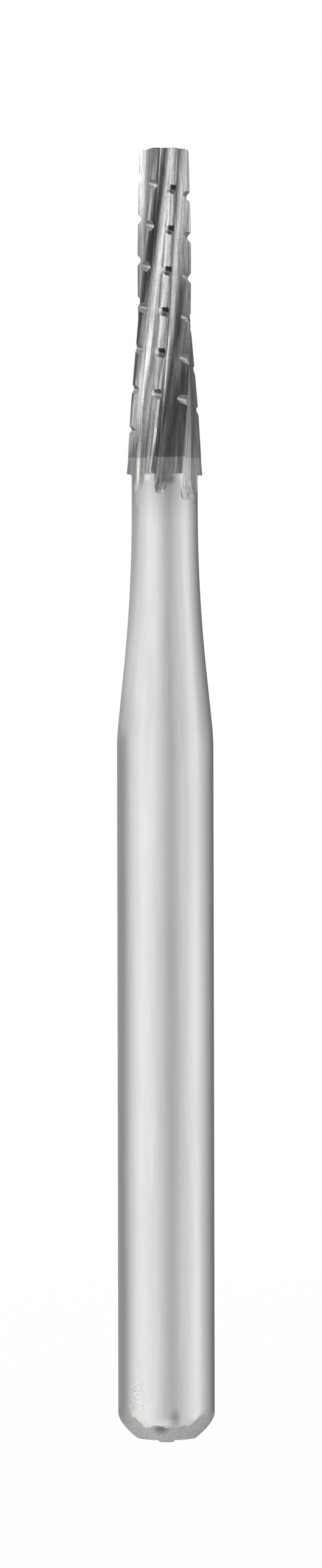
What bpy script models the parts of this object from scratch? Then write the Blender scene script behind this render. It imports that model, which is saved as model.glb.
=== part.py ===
"""Dental bur with a friction-grip shank: a long, slightly tapered crosscut head of sintered
carbide, joined end to end to a turned steel shank and ground together with it.

Metres. +Z runs along the axis with the head up, and z = 0 is the flat back end of the shank.
Angles round the axis start at the front (-Y) and grow towards +X.
"""

import math

import bmesh
import bpy
from mathutils import Vector

# Lengths along the axis
TOTAL_LENGTH = 0.02135
HEAD_LENGTH = 0.00539
SHANK_LENGTH = 0.01161

# Shank: the parallel part is the size that a friction-grip chuck holds
SHANK_RADIUS = 0.0008
END_FLAT_RADIUS = 0.000493
END_ROUND_LENGTH = 0.00042
END_ROUND_PULL = 0.00017
NUB_RADIUS = 0.000145
NUB_HEIGHT = 0.000075
NUB_CHAMFER = 0.00003

# Shoulder: a slim cone between shank and neck, that eases into the neck on a wide radius. The
# radius takes up a share of the height that is left between the shank and the straight neck.
NECK_RADIUS = 0.000548
NECK_LENGTH = 0.00057
SHOULDER_ARC_SHARE = 0.3546
SHANK_BLEND_RADIUS = 0.004
LEDGE_FILLET = 0.00003

# Head, measured over the blades' cutting edges
HEAD_BASE_RADIUS = 0.000668
HEAD_TIP_RADIUS = 0.000412
TIP_ROUND = 0.00005

# The carbide starts a little above the blades' ends, on a thin film of braze
JOINT_ABOVE_LEDGE = 0.00027
BRAZE_FILM = 0.000005

# Blades: two opposite groups of three, wound right-handed
BLADE_SPACING = math.radians(48)
BLADES_PER_GROUP = 3
GROUPS = 2
BLADE_LEAD = 0.0366
MIDDLE_BLADE_ANGLE = math.radians(-20.5)

# Section of a flute: a steep hollow face in front of each edge, a round floor, and behind the
# next edge a relief flat and a steeper heel. The two wide flutes between the groups are deeper.
# What is called base extra is added towards the ledge.
RELIEF_ANGLE = math.radians(29)
RELIEF_SPAN = math.radians(10)
HEEL_ANGLE = math.radians(50)
CORE_SHARE = 0.765
WIDE_GAP_EXTRA_DEPTH = 0.075
BASE_EXTRA_ANGLE = math.radians(8)
BASE_EXTRA_DEPTH = 0.04
BASE_EXTRA_LENGTH = 0.0013
RAKE_SPAN = math.radians(12)
RAKE_POWER = 3.0
LAND_WIDTH = 0.000012
RUNOUT_WHEEL_RADIUS = 0.0009
RUNOUT_CLEARANCE = 0.00003

# Crosscuts: one left-handed V groove that notches every blade it crosses
CROSSCUT_PITCH = 0.000677
CROSSCUT_DEPTH = 0.000072
CROSSCUT_HALF_ANGLE = math.radians(45)
CROSSCUT_BOTTOM_RADIUS = 0.000045
CROSSCUT_START = 0.000668
CROSSCUT_TIP_MARGIN = 0.00045

# How far a cutter stands out of what it cuts, and how far its corners rise above an edge
CUTTER_REACH = 0.00015
CUTTER_LIP = 0.0000015

# Fineness of the curved surfaces
TURNED_STEPS = 72
ARC_STEPS = 6
SHOULDER_STEPS = 10
FLUTE_STATIONS = 22
RUNOUT_STATIONS = 6
FLOOR_STEP = math.radians(12)
RAKE_FRACTIONS = (0.0, 0.12, 0.3, 0.55)
CROSSCUT_STEP = math.radians(7.5)
CROSSCUT_ARC_STEPS = 3
SHARP_ANGLE = math.radians(28)
MERGE_DISTANCE = 1e-8

LEDGE_Z = TOTAL_LENGTH - HEAD_LENGTH
JOINT_Z = LEDGE_Z + JOINT_ABOVE_LEDGE


def clear_scene():
    for obj in list(bpy.data.objects):
        bpy.data.objects.remove(obj, do_unlink=True)


def new_collection(name):
    collection = bpy.data.collections.new(name)
    bpy.context.scene.collection.children.link(collection)
    return collection


def metal(name, colour, roughness):
    material = bpy.data.materials.new(name)
    material.use_nodes = True
    shader = material.node_tree.nodes["Principled BSDF"]
    shader.inputs["Base Color"].default_value = (*colour, 1.0)
    shader.inputs["Metallic"].default_value = 1.0
    shader.inputs["Roughness"].default_value = roughness
    return material


def arc(centre_r, centre_z, radius, start, end, steps):
    """Points (r, z) along an arc, the angle measured from +r towards +z."""
    angles = [start + (end - start) * i / steps for i in range(steps + 1)]
    return [(centre_r + radius * math.cos(a), centre_z + radius * math.sin(a)) for a in angles]


def turned_blank(name, profile, collection):
    """A solid of revolution from a profile that runs top to bottom, axis to axis."""
    mesh = bpy.data.meshes.new(name)
    verts = [(r, 0.0, z) for r, z in profile]
    mesh.from_pydata(verts, [(i, i + 1) for i in range(len(verts) - 1)], [])
    obj = bpy.data.objects.new(name, mesh)
    collection.objects.link(obj)
    screw = obj.modifiers.new("turn", "SCREW")
    screw.axis = "Z"
    screw.angle = math.tau
    screw.steps = TURNED_STEPS
    screw.render_steps = TURNED_STEPS
    screw.use_merge_vertices = True
    screw.merge_threshold = MERGE_DISTANCE
    return obj


def cutter(name, lofts, collection):
    """One cutting body for each list of rings: the rings are skinned and both ends capped."""
    bm = bmesh.new()
    for rings in lofts:
        loops = [[bm.verts.new(point) for point in ring] for ring in rings]
        for low, high in zip(loops, loops[1:]):
            for i in range(len(low)):
                bm.faces.new((low[i - 1], low[i], high[i], high[i - 1]))
        bm.faces.new(loops[0])
        bm.faces.new(loops[-1])
    bmesh.ops.triangulate(bm, faces=bm.faces)
    bmesh.ops.recalc_face_normals(bm, faces=bm.faces)
    mesh = bpy.data.meshes.new(name)
    bm.to_mesh(mesh)
    bm.free()
    obj = bpy.data.objects.new(name, mesh)
    obj.display_type = "WIRE"
    obj.hide_render = True
    collection.objects.link(obj)
    return obj


def cut(obj, tool):
    boolean = obj.modifiers.new("cut " + tool.name, "BOOLEAN")
    boolean.operation = "DIFFERENCE"
    boolean.solver = "EXACT"
    boolean.object = tool


def finish(obj, material):
    """Bakes the modifiers, then shades the round faces smooth and the ground edges sharp."""
    evaluated = obj.evaluated_get(bpy.context.evaluated_depsgraph_get())
    mesh = bpy.data.meshes.new_from_object(evaluated)
    mesh.name = obj.name
    mesh.materials.clear()
    mesh.materials.append(material)
    mesh.shade_smooth()
    mesh.set_sharp_from_angle(angle=SHARP_ANGLE)
    obj.modifiers.clear()
    obj.data = mesh


def polar(angle, radius, z):
    return Vector((radius * math.sin(angle), -radius * math.cos(angle), z))


def crest_radius(z):
    """Radius of the cutting edges, a straight taper from the ledge to the tip."""
    return HEAD_BASE_RADIUS + (HEAD_TIP_RADIUS - HEAD_BASE_RADIUS) * (z - LEDGE_Z) / HEAD_LENGTH


def middle_blade_angle(z):
    return MIDDLE_BLADE_ANGLE + math.tau * (z - LEDGE_Z) / BLADE_LEAD


def blade_offsets():
    """Angles of all blades from the middle blade of the front group, in rising order."""
    in_group = [(i - (BLADES_PER_GROUP - 1) / 2) * BLADE_SPACING for i in range(BLADES_PER_GROUP)]
    return [group * math.tau / GROUPS + offset for group in range(GROUPS) for offset in in_group]


def base_share(z):
    """Grows from 0 to 1 over the last stretch above the ledge, where the flutes get deeper."""
    return min(1.0, max(0.0, 1.0 - (z - LEDGE_Z) / BASE_EXTRA_LENGTH)) ** 2


def core_share(gap, z):
    """Radius of the flute's floor as a share of the crest radius."""
    extra = WIDE_GAP_EXTRA_DEPTH if gap > 1.01 * BLADE_SPACING else 0.0
    return CORE_SHARE - BASE_EXTRA_DEPTH * base_share(z) - extra * (1.0 - base_share(z))


def rake_share(ahead, core):
    """Hollow face in front of an edge, as a share of the crest radius."""
    return core + (1.0 - core) * max(0.0, 1.0 - ahead / RAKE_SPAN) ** RAKE_POWER


def relief_share(behind, z):
    """Relief flat and heel behind an edge, as a share of the crest radius."""
    relief = RELIEF_ANGLE + BASE_EXTRA_ANGLE * base_share(z)
    heel = HEEL_ANGLE + BASE_EXTRA_ANGLE * base_share(z)
    if behind <= RELIEF_SPAN:
        return math.cos(relief) / math.cos(relief - behind)
    corner = math.cos(relief) / math.cos(relief - RELIEF_SPAN)
    return corner * math.cos(heel - RELIEF_SPAN) / math.cos(heel - behind)


def heel_foot(core, z):
    """Angle behind an edge where its heel has come down to the floor of the flute."""
    heel = HEEL_ANGLE + BASE_EXTRA_ANGLE * base_share(z)
    height = relief_share(RELIEF_SPAN, z) * math.cos(heel - RELIEF_SPAN)
    return max(RELIEF_SPAN, heel - math.acos(min(1.0, height / core)))


def runout_depth():
    """How far the grinding wheel has to lift below the ledge to leave the neck whole."""
    core = crest_radius(LEDGE_Z) * core_share(BLADE_SPACING, LEDGE_Z)
    return max(NECK_RADIUS - core, 0.0) + RUNOUT_CLEARANCE


def runout_length():
    depth = min(runout_depth(), RUNOUT_WHEEL_RADIUS)
    return math.sqrt(2.0 * RUNOUT_WHEEL_RADIUS * depth - depth**2)


def runout_lift(z):
    below = min(max(LEDGE_Z - z, 0.0), RUNOUT_WHEEL_RADIUS)
    return RUNOUT_WHEEL_RADIUS - math.sqrt(RUNOUT_WHEEL_RADIUS**2 - below**2)


def flute_ring(edge_offset, gap, z):
    """Outline of what is ground away between the edge at `edge_offset` and the next one."""
    crest = crest_radius(z)
    edge = middle_blade_angle(z) + edge_offset
    lift = runout_lift(z)
    width = gap - LAND_WIDTH / crest
    core = core_share(gap, z)
    foot = heel_foot(core, z)
    floor_steps = math.ceil(max(gap - RAKE_SPAN - HEEL_ANGLE / 2, FLOOR_STEP) / FLOOR_STEP)
    ahead = [RAKE_SPAN * share for share in RAKE_FRACTIONS]
    ahead += [RAKE_SPAN + (width - foot - RAKE_SPAN) * i / floor_steps for i in range(floor_steps + 1)]
    ahead += [width - (RELIEF_SPAN + foot) / 2, width - RELIEF_SPAN, width - RELIEF_SPAN / 2, width]
    ahead.sort()
    ring = []
    for angle in ahead:
        share = max(core, rake_share(angle, core))
        if width - angle < foot:
            share = max(share, relief_share(width - angle, z))
        radius = crest * share + lift
        if angle in (ahead[0], ahead[-1]):
            radius += CUTTER_LIP
        ring.append(polar(edge + angle, radius, z))
    outer_steps = math.ceil(gap / FLOOR_STEP)
    for i in range(outer_steps + 1):
        ring.append(polar(edge + width * (1.0 - i / outer_steps), crest + CUTTER_REACH, z))
    return ring


def flute_lofts():
    top = TOTAL_LENGTH + CUTTER_REACH
    levels = [LEDGE_Z - runout_length() * (1.0 - i / RUNOUT_STATIONS) for i in range(RUNOUT_STATIONS)]
    levels += [LEDGE_Z + (top - LEDGE_Z) * i / FLUTE_STATIONS for i in range(FLUTE_STATIONS + 1)]
    offsets = blade_offsets()
    lofts = []
    for this_edge, next_edge in zip(offsets, offsets[1:] + [offsets[0] + math.tau]):
        lofts.append([flute_ring(this_edge, next_edge - this_edge, z) for z in levels])
    return lofts


def crosscut_ring(angle, z):
    """V section of the crosscut wheel, its rounded point towards the axis."""
    crest = crest_radius(z)
    centre = crest - CROSSCUT_DEPTH + CROSSCUT_BOTTOM_RADIUS
    span = math.pi / 2 - CROSSCUT_HALF_ANGLE
    points = arc(centre, 0.0, CROSSCUT_BOTTOM_RADIUS, math.pi - span, math.pi + span, CROSSCUT_ARC_STEPS)
    outer = crest + CUTTER_REACH / 3
    flank_end, flank_z = points[-1]
    outer_z = abs(flank_z) + (outer - flank_end) * math.tan(CROSSCUT_HALF_ANGLE)
    points = [(outer, outer_z), *points, (outer, -outer_z)]
    return [polar(angle, radius, z + rise) for radius, rise in points]


def crosscut_loft():
    """The groove starts and ends in the air of a flute, and notches the first two blades twice."""
    start_offset = -BLADE_SPACING / 2
    gap_beyond_group = math.tau / GROUPS - (BLADES_PER_GROUP - 1) * BLADE_SPACING
    last_stretch = BLADE_SPACING + gap_beyond_group
    usable = HEAD_LENGTH - CROSSCUT_START - CROSSCUT_TIP_MARGIN
    sweep = math.tau * int(usable / CROSSCUT_PITCH) + last_stretch
    steps = math.ceil(sweep / CROSSCUT_STEP)
    rings = []
    for i in range(steps + 1):
        turned = sweep * i / steps
        z = LEDGE_Z + CROSSCUT_START + CROSSCUT_PITCH * turned / math.tau
        rings.append(crosscut_ring(middle_blade_angle(z) + start_offset - turned, z))
    return rings


def head_profile():
    bottom = JOINT_Z + BRAZE_FILM / 2
    rim = arc(HEAD_TIP_RADIUS - TIP_ROUND, TOTAL_LENGTH - TIP_ROUND, TIP_ROUND, math.pi / 2, 0.0, 3)
    return [(0.0, TOTAL_LENGTH), *rim, (crest_radius(bottom), bottom), (0.0, bottom)]


def ledge_profile():
    """From the joint face down over the blades' ends and their fillet to the neck."""
    top = JOINT_Z - BRAZE_FILM / 2
    fillet = arc(NECK_RADIUS + LEDGE_FILLET, LEDGE_Z - LEDGE_FILLET, LEDGE_FILLET, math.pi / 2, math.pi, 3)
    return [(0.0, top), (crest_radius(top), top), (HEAD_BASE_RADIUS, LEDGE_Z), *fillet]


def shoulder_profile():
    """Neck to shank: the wide arc, the cone, and a soft blend into the parallel shank."""
    wide_top = LEDGE_Z - NECK_LENGTH
    height = wide_top - SHANK_LENGTH
    slope = math.atan2(SHANK_RADIUS - NECK_RADIUS, height * (1.0 - SHOULDER_ARC_SHARE))
    half = math.tan(slope / 2)
    wide_radius = height * SHOULDER_ARC_SHARE / half
    blend_bottom = SHANK_LENGTH - SHANK_BLEND_RADIUS * half
    wide = arc(NECK_RADIUS + wide_radius, wide_top, wide_radius, math.pi, math.pi + slope,
               SHOULDER_STEPS)
    blend = arc(SHANK_RADIUS - SHANK_BLEND_RADIUS, blend_bottom, SHANK_BLEND_RADIUS, slope, 0.0, 3)
    return wide + blend


def end_profile():
    """The rounded back end, its small flat, and the nub left where it was parted off."""
    control = (SHANK_RADIUS, END_ROUND_LENGTH - END_ROUND_PULL)
    start = (SHANK_RADIUS, END_ROUND_LENGTH)
    flat = (END_FLAT_RADIUS, 0.0)
    points = []
    for i in range(ARC_STEPS + 1):
        t = i / ARC_STEPS
        points.append(tuple((1 - t) ** 2 * a + 2 * t * (1 - t) * b + t**2 * c
                            for a, b, c in zip(start, control, flat)))
    points += [(NUB_RADIUS, 0.0), (NUB_RADIUS, NUB_CHAMFER - NUB_HEIGHT)]
    points += [(NUB_RADIUS - NUB_CHAMFER, -NUB_HEIGHT), (0.0, -NUB_HEIGHT)]
    return points


def main():
    clear_scene()
    parts = new_collection("dental_bur")
    cutters = new_collection("cutters")
    flutes = cutter("flute_grind", flute_lofts(), cutters)
    crosscuts = cutter("crosscut_grind", [crosscut_loft()], cutters)

    head = turned_blank("carbide_head", head_profile(), parts)
    cut(head, flutes)
    cut(head, crosscuts)
    shank = turned_blank("steel_shank", ledge_profile() + shoulder_profile() + end_profile(), parts)
    cut(shank, flutes)

    finish(head, metal("carbide", (0.36, 0.36, 0.37), 0.34))
    finish(shank, metal("steel", (0.60, 0.60, 0.61), 0.27))


main()
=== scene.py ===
"""Dental bur with a friction-grip shank: the finished surfaces, the studio and the camera.

Metres, +Z along the axis with the head up, z = 0 at the flat back end of the shank. Angles round
the axis start at the front (-Y) and grow towards +X.
"""

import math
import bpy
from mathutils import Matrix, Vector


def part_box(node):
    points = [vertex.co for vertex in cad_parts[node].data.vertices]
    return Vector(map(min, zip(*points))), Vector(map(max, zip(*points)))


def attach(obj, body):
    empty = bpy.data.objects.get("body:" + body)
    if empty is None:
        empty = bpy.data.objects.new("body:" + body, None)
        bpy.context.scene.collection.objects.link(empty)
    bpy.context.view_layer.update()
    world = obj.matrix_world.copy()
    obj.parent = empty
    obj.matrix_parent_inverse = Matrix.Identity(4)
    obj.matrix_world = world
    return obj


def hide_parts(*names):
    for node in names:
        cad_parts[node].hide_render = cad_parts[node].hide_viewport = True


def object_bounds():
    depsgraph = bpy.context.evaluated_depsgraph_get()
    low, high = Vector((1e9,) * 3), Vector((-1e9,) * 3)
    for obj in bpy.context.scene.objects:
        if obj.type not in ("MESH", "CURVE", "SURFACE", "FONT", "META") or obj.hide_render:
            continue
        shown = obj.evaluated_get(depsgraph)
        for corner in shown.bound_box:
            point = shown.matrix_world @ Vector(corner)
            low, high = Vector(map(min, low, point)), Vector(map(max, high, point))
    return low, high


bl_info = {
    "name": "Dental Bur",
    "version": (1, 0, 0),
    "blender": (4, 5, 0),
    "location": "View3D > Sidebar > Dental Bur",
    "description": "A tapered crosscut carbide bur on a steel friction-grip shank, with its studio",
    "category": "Object",
}

import bmesh
import bpy
from bpy.props import FloatProperty, FloatVectorProperty, IntProperty, PointerProperty
from mathutils import Vector

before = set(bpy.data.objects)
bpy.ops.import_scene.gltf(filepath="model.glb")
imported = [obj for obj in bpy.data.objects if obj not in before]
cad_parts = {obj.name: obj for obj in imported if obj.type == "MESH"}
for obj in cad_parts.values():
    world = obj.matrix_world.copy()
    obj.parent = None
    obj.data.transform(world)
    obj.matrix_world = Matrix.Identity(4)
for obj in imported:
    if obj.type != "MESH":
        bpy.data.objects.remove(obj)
CAD_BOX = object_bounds()
HEAD_LOW, HEAD_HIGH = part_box("carbide_head")
SHANK_LOW, SHANK_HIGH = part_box("steel_shank")


def length(name, description, default):
    return FloatProperty(name=name, description=description, default=default, min=0.0, precision=6,
                         unit="LENGTH")


def degrees(name, description, default):
    return FloatProperty(name=name, description=description, default=math.radians(default),
                         subtype="ANGLE")


def share(name, description, default):
    return FloatProperty(name=name, description=description, default=default, min=0.0, max=1.0,
                         subtype="FACTOR")


def count(name, description, default):
    return IntProperty(name=name, description=description, default=default, min=1)


def colour(name, description, default):
    return FloatVectorProperty(name=name, description=description, default=default, size=3,
                               min=0.0, max=1.0, subtype="COLOR")


class DentalBurSizes(bpy.types.PropertyGroup):
    """Sizes of the bur, as they are ground"""

    tip_z: length("Tip height", "Height of the flat tip above the back end", HEAD_HIGH.z)
    joint_z: length("Joint height", "Height where the carbide meets the steel",
                    (HEAD_LOW.z + SHANK_HIGH.z) / 2)
    head_length: length("Head length", "Length of the blades", 0.00539)
    head_base_radius: length("Head base radius", "Radius over the blades at their lower end", 0.000668)
    head_tip_radius: length("Head tip radius", "Radius over the blades at the tip", 0.000412)
    tip_round: length("Tip rounding", "Rounding of the tip's rim", 0.00005)

    shank_radius: length("Shank radius", "Radius that the chuck grips", SHANK_HIGH.x)
    shank_length: length("Shank length", "Height where the parallel shank ends", 0.01161)
    neck_radius: length("Neck radius", "Radius of the slim neck", 0.000548)
    neck_length: length("Neck length", "Height of the straight part of the neck", 0.00057)
    shoulder_arc: share("Shoulder arc", "Share of the shoulder's height that eases into the neck", 0.3546)
    shank_blend: length("Shank blend", "Radius that eases the shank into the cone", 0.004)
    ledge_fillet: length("Ledge fillet", "Fillet between the neck and the blades' ends", 0.00003)

    end_flat_radius: length("End flat radius", "Radius of the flat on the back end", 0.000493)
    end_round_length: length("End rounding length", "Height of the rounded back end", 0.00042)
    end_round_pull: length("End rounding pull", "How soon the rounding leaves the side", 0.00017)
    nub_radius: length("Nub radius", "Radius of the parting nub", 0.000145)
    nub_chamfer: length("Nub chamfer", "Chamfer of the parting nub", 0.00003)

    blade_spacing: degrees("Blade spacing", "Angle between the blades of a group", 48)
    blades_per_group: count("Blades in a group", "Blades in each of the two groups", 3)
    blade_lead: length("Blade lead", "Height in which a blade turns once", 0.0366)
    middle_blade: degrees("Middle blade", "Angle of the front group's middle blade at its end", -20.5)
    relief_angle: degrees("Relief angle", "Slope of the flat behind an edge", 29)
    relief_span: degrees("Relief span", "Angle that the relief takes", 10)
    heel_angle: degrees("Heel angle", "Slope of the steeper flat behind the relief", 50)
    core: share("Core", "Radius of a flute's floor, as a share of the edges' radius", 0.765)
    wide_core: share("Core of the wide flutes", "The same for the flutes between the groups", 0.69)
    base_extra: share("Extra depth", "How much deeper the flutes get at the blades' ends", 0.05)
    base_extra_length: length("Extra depth length", "Height over which that fades", 0.0013)
    rake_span: degrees("Rake span", "Angle that the hollow face in front of an edge takes", 12)
    rake_power: FloatProperty(name="Rake power", description="How hollow that face is", default=3.0)
    land: length("Land", "Width of the land on an edge", 0.000012)
    runout_wheel: length("Run-out radius", "Radius on which a flute leaves the neck", 0.0009)

    crosscut_pitch: length("Crosscut pitch", "Distance between two notches of a blade", 0.000677)
    crosscut_depth: length("Crosscut depth", "Depth of a notch", 0.000072)
    crosscut_half_angle: degrees("Crosscut half angle", "Half angle of the notch's V", 45)
    crosscut_bottom: length("Crosscut bottom", "Radius at the bottom of the V", 0.000045)
    crosscut_start: length("Crosscut start", "Height of the first notch above the blades' ends",
                            0.000668)
    crosscut_margin: length("Crosscut margin", "What stays whole below the tip", 0.00045)

    turned_segments: count("Turned segments", "Corners of a turned circle", 144)


class DentalBurFinishes(bpy.types.PropertyGroup):
    """Colours and gloss of the two metals"""

    steel: colour("Steel", "Ground stainless steel", (0.70, 0.70, 0.685))
    steel_roughness: share("Steel roughness", "Roughness of the ground shank", 0.19)
    carbide: colour("Carbide", "Ground tungsten carbide", (0.52, 0.52, 0.516))
    carbide_roughness: share("Carbide roughness", "Roughness of the ground blades", 0.24)
    blasted: colour("Blasted end", "Matt steel at the back end", (0.52, 0.52, 0.52))
    floor: colour("Floor", "Pale floor", (0.85, 0.85, 0.85))


# How far a grinding tool stands out of the blank, and how far its corners rise above an edge
TOOL_REACH = 0.00015
TOOL_LIP = 0.0000015
FLUTE_STATIONS = 48
RUNOUT_STATIONS = 12
FLOOR_STEP = math.radians(5)
RAKE_FRACTIONS = (0.0, 0.05, 0.12, 0.2, 0.3, 0.43, 0.58, 0.78)
HEEL_FRACTIONS = (0.8, 0.6, 0.4, 0.2, 0.0)
RELIEF_FRACTIONS = (0.66, 0.33, 0.0)
CROSSCUT_STEP = math.radians(6)
CROSSCUT_ARC_STEPS = 5
# Steps of the turned profile's curves, from the back end to the tip's rim
END_STEPS = 14
BLEND_STEPS = 8
SHOULDER_STEPS = 24
FILLET_STEPS = 5
RIM_STEPS = 6
# A flute's floor lies within this share of the edges' radius
FLOOR_LIMIT = 0.97
SAME_HEIGHT = 1e-7
SMOOTH_ANGLE = math.radians(24)
GROUPS = 2
MM = 1000.0


def deselect_all():
    if bpy.context.object and bpy.context.object.mode != "OBJECT":
        bpy.ops.object.mode_set(mode="OBJECT")
    bpy.ops.object.select_all(action="DESELECT")


def make_active(obj):
    deselect_all()
    obj.select_set(True)
    bpy.context.view_layer.objects.active = obj


def polar(angle, radius, z):
    return Vector((radius * math.sin(angle), -radius * math.cos(angle), z))


def arc(centre_r, centre_z, radius, start, end, steps):
    """Points (r, z) along an arc, the angle measured from +r towards +z."""
    angles = [start + (end - start) * i / steps for i in range(steps + 1)]
    return [(centre_r + radius * math.cos(a), centre_z + radius * math.sin(a)) for a in angles]


def turned(name, profile, segments):
    """A circle extruded upwards from station to station, as a lathe leaves it."""
    deselect_all()
    radius, z = profile[0]
    bpy.ops.mesh.primitive_circle_add(vertices=segments, radius=radius, fill_type="NGON",
                                      location=(0, 0, 0), enter_editmode=True)
    obj = bpy.context.object
    obj.name = obj.data.name = name
    bpy.ops.mesh.select_all(action="SELECT")
    bpy.ops.transform.translate(value=(0, 0, z))
    for next_radius, next_z in profile[1:]:
        bpy.ops.mesh.extrude_region_move(TRANSFORM_OT_translate={"value": (0, 0, next_z - z)})
        scale = next_radius / radius
        bpy.ops.transform.resize(value=(scale, scale, 1), center_override=(0, 0, next_z))
        radius, z = next_radius, next_z
    bpy.ops.mesh.select_all(action="SELECT")
    bpy.ops.mesh.normals_make_consistent(inside=False)
    deselect_all()
    return obj


def turn_selection(angle, centre):
    bpy.ops.transform.rotate(value=-angle, orient_axis="Z", center_override=centre)


def outline(name, points):
    """A flat face with its corners moved one by one to the given points, left in edit mode."""
    deselect_all()
    bpy.ops.mesh.primitive_circle_add(vertices=len(points), radius=TOOL_REACH, fill_type="NGON",
                                      enter_editmode=True)
    obj = bpy.context.object
    obj.name = obj.data.name = name
    bpy.ops.mesh.select_mode(type="VERT")
    for i, point in enumerate(points):
        bpy.ops.mesh.select_all(action="DESELECT")
        mesh = bmesh.from_edit_mesh(obj.data)
        mesh.verts.ensure_lookup_table()
        mesh.verts[i].select = True
        offset = point - mesh.verts[i].co
        bmesh.update_edit_mesh(obj.data)
        bpy.ops.transform.translate(value=offset)
    bpy.ops.mesh.select_all(action="SELECT")
    return obj


def close_tool(obj):
    """Splits the tool's twisted faces into triangles and turns them all outwards."""
    bpy.ops.mesh.select_all(action="SELECT")
    bpy.ops.mesh.quads_convert_to_tris()
    bpy.ops.mesh.normals_make_consistent(inside=False)
    deselect_all()


def ground(obj, tool):
    """Cuts the tool's sweep out of the blank. The cut faces keep the tool's material."""
    make_active(obj)
    boolean = obj.modifiers.new("ground", "BOOLEAN")
    boolean.operation = "DIFFERENCE"
    boolean.solver = "EXACT"
    boolean.material_mode = "TRANSFER"
    boolean.object = tool
    bpy.ops.object.modifier_apply(modifier=boolean.name)
    bpy.data.objects.remove(tool, do_unlink=True)


def ledge_height(s):
    return s.tip_z - s.head_length


def crest_radius(s, z):
    """Radius of the cutting edges, a straight taper from the ledge to the tip."""
    taper = (s.head_tip_radius - s.head_base_radius) / s.head_length
    return s.head_base_radius + taper * (z - ledge_height(s))


def blade_angle(s, z):
    return s.middle_blade + math.tau * (z - ledge_height(s)) / s.blade_lead


def blade_offsets(s):
    middle = (s.blades_per_group - 1) / 2
    in_group = [(i - middle) * s.blade_spacing for i in range(s.blades_per_group)]
    return [group * math.tau / GROUPS + offset for group in range(GROUPS) for offset in in_group]


def base_share(s, z):
    """Grows from 0 to 1 over the last stretch above the ledge, where the flutes get deeper."""
    return min(1.0, max(0.0, 1.0 - (z - ledge_height(s)) / s.base_extra_length)) ** 2


def runout_lift(s, z):
    below = max(ledge_height(s) - z, 0.0)
    return s.runout_wheel - math.sqrt(s.runout_wheel**2 - below**2)


def runout_length(s, core):
    """Height in which the wheel, lifting on its own radius, gets clear of the neck."""
    depth = max(s.neck_radius - core * s.head_base_radius, 0.0) + TOOL_REACH / 5
    return math.sqrt(2.0 * s.runout_wheel * depth - depth**2)


def relief_share(s, behind):
    """Relief flat and heel behind an edge, as a share of the crest radius."""
    if behind <= s.relief_span:
        return math.cos(s.relief_angle) / math.cos(s.relief_angle - behind)
    corner = math.cos(s.relief_angle) / math.cos(s.relief_angle - s.relief_span)
    return corner * math.cos(s.heel_angle - s.relief_span) / math.cos(s.heel_angle - behind)


def flute_section(s, gap, core):
    """Outline at the ledge of what is ground away from one edge to the next."""
    ledge = ledge_height(s)
    crest = s.head_base_radius
    width = gap - s.land / crest
    height = relief_share(s, s.relief_span) * math.cos(s.heel_angle - s.relief_span)
    foot = s.heel_angle - math.acos(min(1.0, height / core))
    steps = math.ceil((width - foot - s.rake_span) / FLOOR_STEP)
    ahead = [s.rake_span * part for part in RAKE_FRACTIONS]
    ahead += [s.rake_span + (width - foot - s.rake_span) * i / steps for i in range(steps + 1)]
    ahead += [width - s.relief_span - (foot - s.relief_span) * part for part in HEEL_FRACTIONS]
    ahead += [width - s.relief_span * part for part in RELIEF_FRACTIONS]
    points = []
    for angle in ahead:
        level = core + (1.0 - core) * max(0.0, 1.0 - angle / s.rake_span) ** s.rake_power
        if width - angle < foot:
            level = max(level, relief_share(s, width - angle))
        lip = TOOL_LIP if angle in (ahead[0], ahead[-1]) else 0.0
        points.append(polar(angle, crest * level + lip, ledge))
    steps = math.ceil(width / FLOOR_STEP)
    points += [polar(width * (1.0 - i / steps), crest + 2 * TOOL_REACH, ledge) for i in range(steps + 1)]
    return points


def deepen_floor(s, obj, z, factor):
    """Moves the selected ring's floor towards the axis, and selects the whole ring again."""
    mesh = bmesh.from_edit_mesh(obj.data)
    ring = [vert for vert in mesh.verts if vert.select]
    limit = FLOOR_LIMIT * crest_radius(s, z)
    for vert in ring:
        vert.select = vert.co.xy.length < limit
    mesh.select_flush_mode()
    bmesh.update_edit_mesh(obj.data)
    bpy.ops.transform.resize(value=(factor, factor, 1), center_override=(0, 0, z))
    mesh = bmesh.from_edit_mesh(obj.data)
    for vert in mesh.verts:
        if abs(vert.co.z - z) < SAME_HEIGHT:
            vert.select = True
    mesh.select_flush_mode()
    bmesh.update_edit_mesh(obj.data)


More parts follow.
